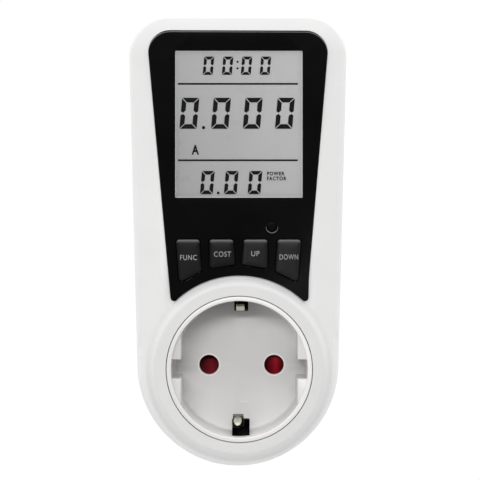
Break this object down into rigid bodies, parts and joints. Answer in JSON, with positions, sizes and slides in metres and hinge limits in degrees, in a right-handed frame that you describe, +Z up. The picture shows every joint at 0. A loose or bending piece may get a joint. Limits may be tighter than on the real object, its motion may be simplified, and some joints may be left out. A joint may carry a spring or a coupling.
{
  "type": "plug-in power meter",
  "caption": "Plug-in mains power meter: slim tapered case with a display and keys above a recessed round earthed socket, and a matching plug with pins on its back.",
  "frame": {"origin": "centre of the plug's flat end face, midway between the pins' axes", "axes": "+Z up the face from the socket towards the display, +Y out of the back along the pins into the wall outlet, +X to the right seen from the front"},
  "size_m": [0.063, 0.074, 0.1304],
  "materials": {
    "white_shell": "fine satin moulded ABS",
    "socket_white": "satin moulded thermoset",
    "panel_black": "near-gloss black",
    "key_grey": "satin dark grey",
    "lens_clear": "clear window",
    "lcd_grey": "grey reflective liquid crystal cell",
    "shutter_red": "satin red",
    "nickel": "nickel plate",
    "brass": "rolled brass strip",
    "screw_steel": "zinc plated",
    "carrier_ivory": "glass-filled moulding",
    "board_green": "solder mask on laminate",
    "chip_black": "moulded epoxy",
    "frame_white": "matt white moulding",
    "zebra_grey": "striped conductive rubber",
    "film_yellow": "box capacitor case",
    "can_blue": "sleeved can",
    "disc_blue": "epoxy dipped disc",
    "cell_green": "sleeved button cells",
    "wire_brown": "wire insulation",
    "wire_blue": "wire insulation"
  },
  "bodies": {
    "housing": {"front_housing": "white_shell", "rear_housing": "white_shell", "display_panel": "panel_black", "display_lens": "lens_clear", "lcd_cell": "lcd_grey", "lcd_frame": "frame_white", "zebra_strip": "zebra_grey", "display_board": "board_green", "power_board": "board_green", "socket_cup": "socket_white", "shutter_spring": "screw_steel", "contact_carrier": "carrier_ivory", "line_contact": "brass", "neutral_contact": "brass", "earth_contact_upper": "nickel", "earth_contact_lower": "nickel", "earth_link": "brass", "line_pin": "nickel", "neutral_pin": "nickel", "pin_carrier": "carrier_ivory", "shunt_resistor": "brass", "film_capacitor": "film_yellow", "storage_capacitor": "can_blue", "varistor": "disc_blue", "fuse_resistor": "frame_white", "metering_chip": "chip_black", "bridge_rectifier": "chip_black", "microcontroller": "chip_black", "clock_crystal": "screw_steel", "backup_battery": "cell_green", "board_cable": "zebra_grey", "line_wire": "wire_brown", "neutral_wire": "wire_blue", "switch_function": "chip_black", "switch_cost": "chip_black", "switch_up": "chip_black", "switch_down": "chip_black", "switch_reset": "chip_black", "housing_screw_1": "screw_steel", "housing_screw_2": "screw_steel", "housing_screw_3": "screw_steel", "housing_screw_4": "screw_steel", "carrier_screw_1": "screw_steel", "display_board_screw_1": "screw_steel", "power_board_screw_1": "screw_steel", "carrier_screw_2": "screw_steel", "display_board_screw_2": "screw_steel", "power_board_screw_2": "screw_steel"},
    "shutter_rotor": {"shutter": "shutter_red"},
    "function_key": {"key_function": "key_grey", "plunger_function": "frame_white"},
    "cost_key": {"key_cost": "key_grey", "plunger_cost": "frame_white"},
    "up_key": {"key_up": "key_grey", "plunger_up": "frame_white"},
    "down_key": {"key_down": "key_grey", "plunger_down": "frame_white"},
    "reset_button": {"key_reset": "panel_black", "plunger_reset": "frame_white"}
  },
  "joints": [
    {"name": "shutter_turn", "type": "hinge", "parent": "housing", "child": "shutter_rotor", "pos_m": [0, -0.033, 0], "axis": [0, -1, 0], "range_deg": [0, 40], "stiffness_Nm_per_rad": 0.003, "springref_deg": -20.05, "deforming": ["shutter_spring"]},
    {"name": "function_press", "type": "slide", "parent": "housing", "child": "function_key", "axis": [0, 1, 0], "range_m": [0, 0.0006], "stiffness_N_per_m": 900, "springref_m": -0.0006},
    {"name": "cost_press", "type": "slide", "parent": "housing", "child": "cost_key", "axis": [0, 1, 0], "range_m": [0, 0.0006], "stiffness_N_per_m": 900, "springref_m": -0.0006},
    {"name": "up_press", "type": "slide", "parent": "housing", "child": "up_key", "axis": [0, 1, 0], "range_m": [0, 0.0006], "stiffness_N_per_m": 900, "springref_m": -0.0006},
    {"name": "down_press", "type": "slide", "parent": "housing", "child": "down_key", "axis": [0, 1, 0], "range_m": [0, 0.0006], "stiffness_N_per_m": 900, "springref_m": -0.0006},
    {"name": "reset_press", "type": "slide", "parent": "housing", "child": "reset_button", "axis": [0, 1, 0], "range_m": [0, 0.0006], "stiffness_N_per_m": 900, "springref_m": -0.0006}
  ]
}
